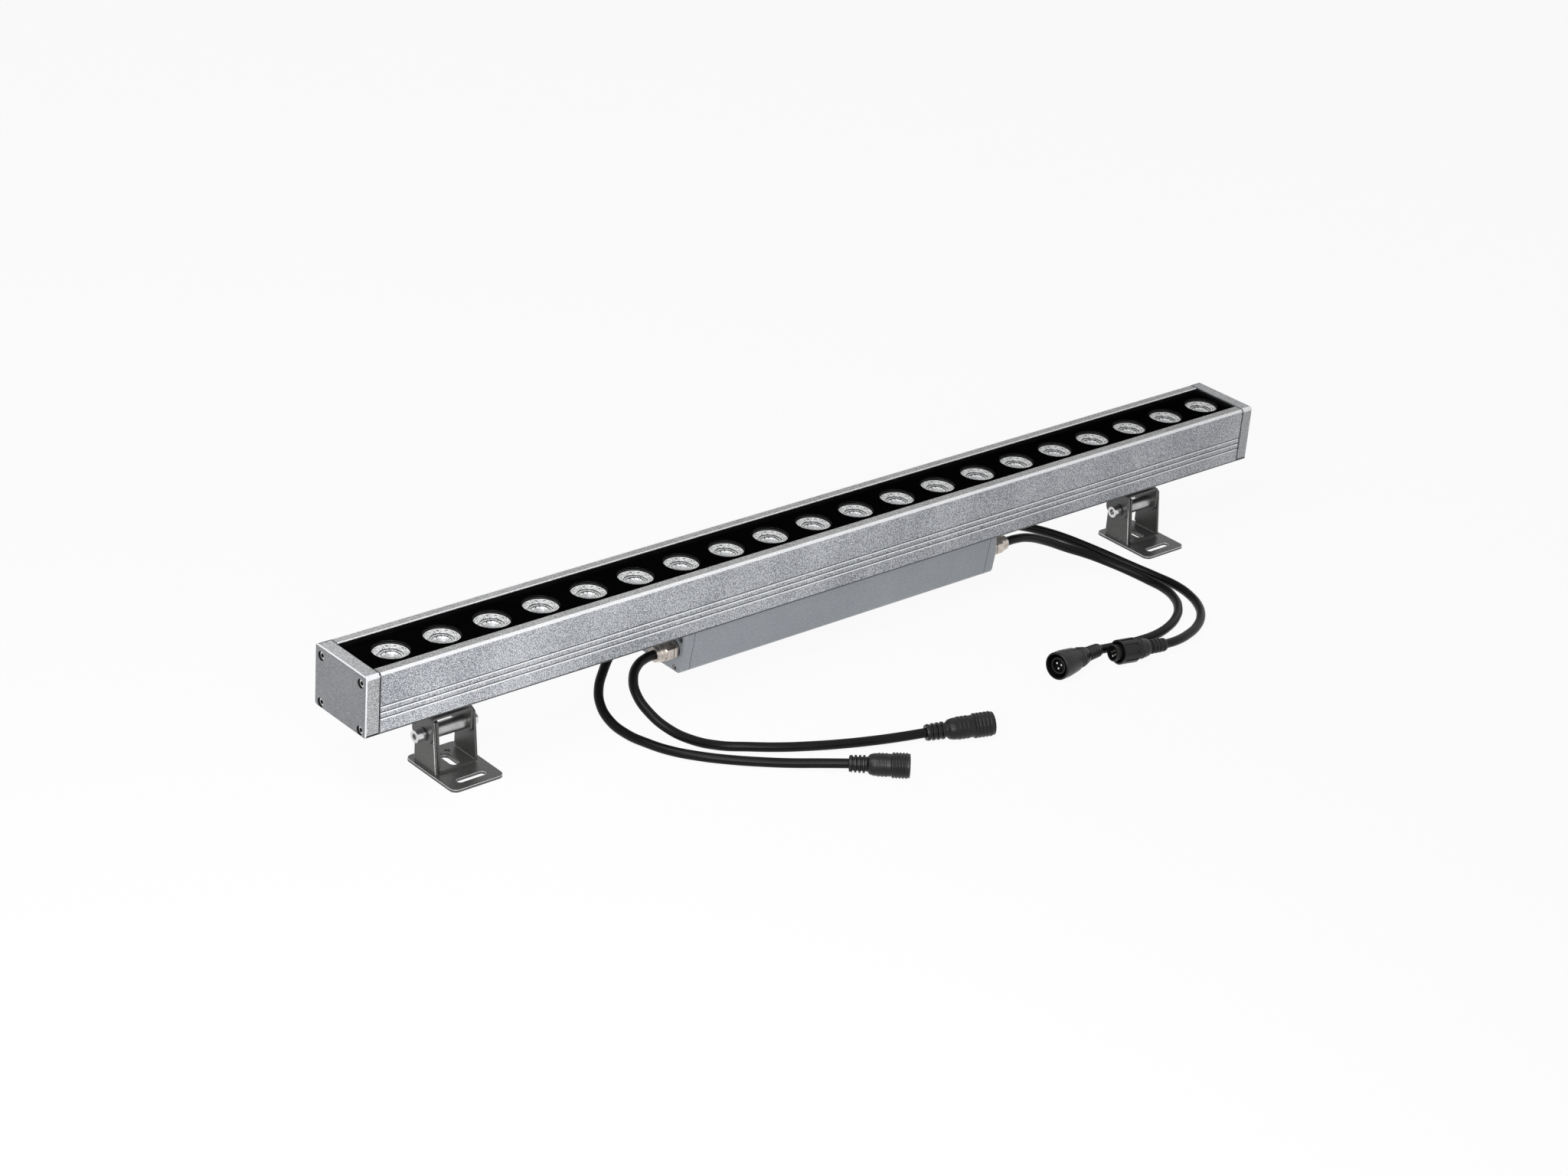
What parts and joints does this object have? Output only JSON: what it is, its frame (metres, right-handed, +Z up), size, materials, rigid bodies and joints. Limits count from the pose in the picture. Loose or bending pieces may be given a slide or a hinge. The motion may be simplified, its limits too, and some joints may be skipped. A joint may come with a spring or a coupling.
{
  "type": "linear wall washer light",
  "caption": "Long aluminium wall washer lamp with a row of round lenses, driver box below, tilting foot brackets and plug-in cords",
  "frame": {"origin": "middle of the footprint of lamp and brackets on the ground, without the cords", "axes": "+X along the lamp, -Y to the side that the grooves and cords face, +Z up and out of the lenses"},
  "size_m": [1, 0.2663, 0.1233],
  "materials": {
    "housing": "satin silver-grey powder coat with a fine metallic grain",
    "end_cap": "satin silver-grey powder coat, a little darker than the housing",
    "driver_box": "satin blue-grey powder coat",
    "black_rubber": "matt black rubber",
    "clear_silicone": "matt translucent silicone",
    "small_screw": "plain zinc-plated steel",
    "lens_plate": "fine matt black",
    "lens": "clear moulded acrylic with a beaded bowl",
    "led_board": "white solder mask on an aluminium board",
    "led": "yellow phosphor under a clear dome",
    "driver_board": "green solder mask",
    "components": "dark moulded and wound parts",
    "wire": "red silicone insulation",
    "gland": "nickel-plated brass with a warm tint",
    "cord": "satin black rubber sheath",
    "connector": "satin black moulded nylon",
    "contact_insert": "black insert with bright contacts",
    "coupling_ring": "satin black moulded nylon",
    "hanger": "satin gunmetal powder coat",
    "foot_plate": "satin gunmetal powder coat with a fine grain",
    "bracket": "satin gunmetal powder coat",
    "bolt": "bright stainless steel",
    "washer": "dark plated spring steel and steel",
    "spacer": "bright turned aluminium tube"
  },
  "bodies": {
    "lamp": {"housing": "housing", "end_caps": "end_cap", "end_gaskets": "black_rubber", "end_cap_screws": "small_screw", "lens_plate": "lens_plate", "plate_seal": "black_rubber", "lenses": "lens", "lens_seals": "clear_silicone", "led_board": "led_board", "led_chips": "led", "board_screws": "small_screw", "driver_box": "driver_box", "driver_pad": "black_rubber", "driver_cap_left": "driver_box", "driver_cap_right": "driver_box", "driver_gaskets": "black_rubber", "driver_cap_screws": "small_screw", "driver_fixing_screws": "small_screw", "driver_board": "driver_board", "driver_components": "components", "wire_nipple": "small_screw", "nipple_nut": "small_screw", "supply_wires": "wire", "gland_bodies": "gland", "gland_nuts": "gland", "gland_seals": "black_rubber", "cord_1": "cord", "cord_2": "cord", "cord_3": "cord", "cord_4": "cord", "socket_1": "connector", "socket_2": "connector", "plug_a": "connector", "plug_b": "connector", "socket_insert_1": "contact_insert", "socket_insert_2": "contact_insert", "plug_insert_a": "contact_insert", "plug_insert_b": "contact_insert", "hanger_left": "hanger", "hanger_right": "hanger", "hanger_blocks": "hanger", "hanger_screws": "small_screw"},
    "foot_left": {"foot_plate_left": "foot_plate", "channel_left": "bracket", "cheek_left": "bracket", "pivot_bolt_left": "bolt", "pivot_washers_left": "washer", "pivot_spacer_left": "spacer", "pivot_nut_left": "bolt"},
    "foot_right": {"foot_plate_right": "foot_plate", "channel_right": "bracket", "cheek_right": "bracket", "pivot_bolt_right": "bolt", "pivot_washers_right": "washer", "pivot_spacer_right": "spacer", "pivot_nut_right": "bolt"},
    "ring_a": {"coupling_ring_a": "coupling_ring"},
    "ring_b": {"coupling_ring_b": "coupling_ring"}
  },
  "joints": [
    {"name": "tilt_left", "type": "hinge", "parent": "lamp", "child": "foot_left", "pos_m": [-0.395, 0.0042, 0.0343], "axis": [1, 0, 0], "range_deg": [-75, 75]},
    {"name": "tilt_right", "type": "hinge", "parent": "lamp", "child": "foot_right", "pos_m": [0.395, 0.0042, 0.0343], "axis": [1, 0, 0], "range_deg": [-75, 75]},
    {"name": "ring_a_turn", "type": "hinge", "parent": "lamp", "child": "ring_a", "pos_m": [0.14113, -0.16075, 0.01223], "axis": [-0.9904, -0.1234, 0.0628], "continuous": true},
    {"name": "ring_b_turn", "type": "hinge", "parent": "lamp", "child": "ring_b", "pos_m": [0.20016, -0.1726, 0.01178], "axis": [-0.9876, 0.1423, 0.0663], "continuous": true}
  ]
}
